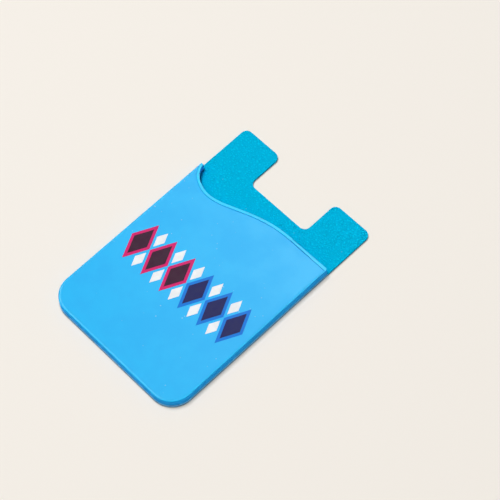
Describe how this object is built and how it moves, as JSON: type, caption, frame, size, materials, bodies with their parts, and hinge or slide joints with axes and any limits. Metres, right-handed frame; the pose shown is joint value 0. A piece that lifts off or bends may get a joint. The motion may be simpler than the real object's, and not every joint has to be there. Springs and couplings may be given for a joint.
{
  "type": "stick on phone card holder",
  "caption": "Thin two-tone silicone card pocket with a waved beaded mouth and a notched back panel, stuck to a phone by an adhesive pad.",
  "frame": {"origin": "centre of the adhesive back face, where the holder meets the phone, at the middle of its width and length", "axes": "+Y along the length towards the mouth and the finger notch, +Z out of the printed front, +X to the right seen from the front"},
  "size_m": [0.057, 0.0874, 0.0041],
  "materials": {
    "adhesive": "satin, slightly tacky double-sided foam film",
    "teal_silicone": "matte silicone with a fine leather grain",
    "azure_silicone": "smooth matte silicone with a soft sheen",
    "magenta_ink": "smooth printed ink film",
    "cobalt_ink": "smooth printed ink film",
    "plum_ink": "smooth printed ink film",
    "navy_ink": "smooth printed ink film",
    "white_ink": "smooth printed ink film"
  },
  "bodies": {
    "root": {"adhesive_pad": "adhesive", "back_panel": "teal_silicone", "front_pocket": "azure_silicone", "print_frame_1": "magenta_ink", "print_frame_2": "magenta_ink", "print_frame_3": "magenta_ink", "print_frame_4": "cobalt_ink", "print_frame_5": "cobalt_ink", "print_frame_6": "cobalt_ink", "print_core_1": "plum_ink", "print_core_2": "plum_ink", "print_core_3": "plum_ink", "print_core_4": "navy_ink", "print_core_5": "navy_ink", "print_core_6": "navy_ink", "print_dot_upper_1": "white_ink", "print_dot_upper_2": "white_ink", "print_dot_upper_3": "white_ink", "print_dot_upper_4": "white_ink", "print_dot_upper_5": "white_ink", "print_dot_lower_1": "white_ink", "print_dot_lower_2": "white_ink", "print_dot_lower_3": "white_ink", "print_dot_lower_4": "white_ink", "print_dot_lower_5": "white_ink"}
  },
  "joints": []
}
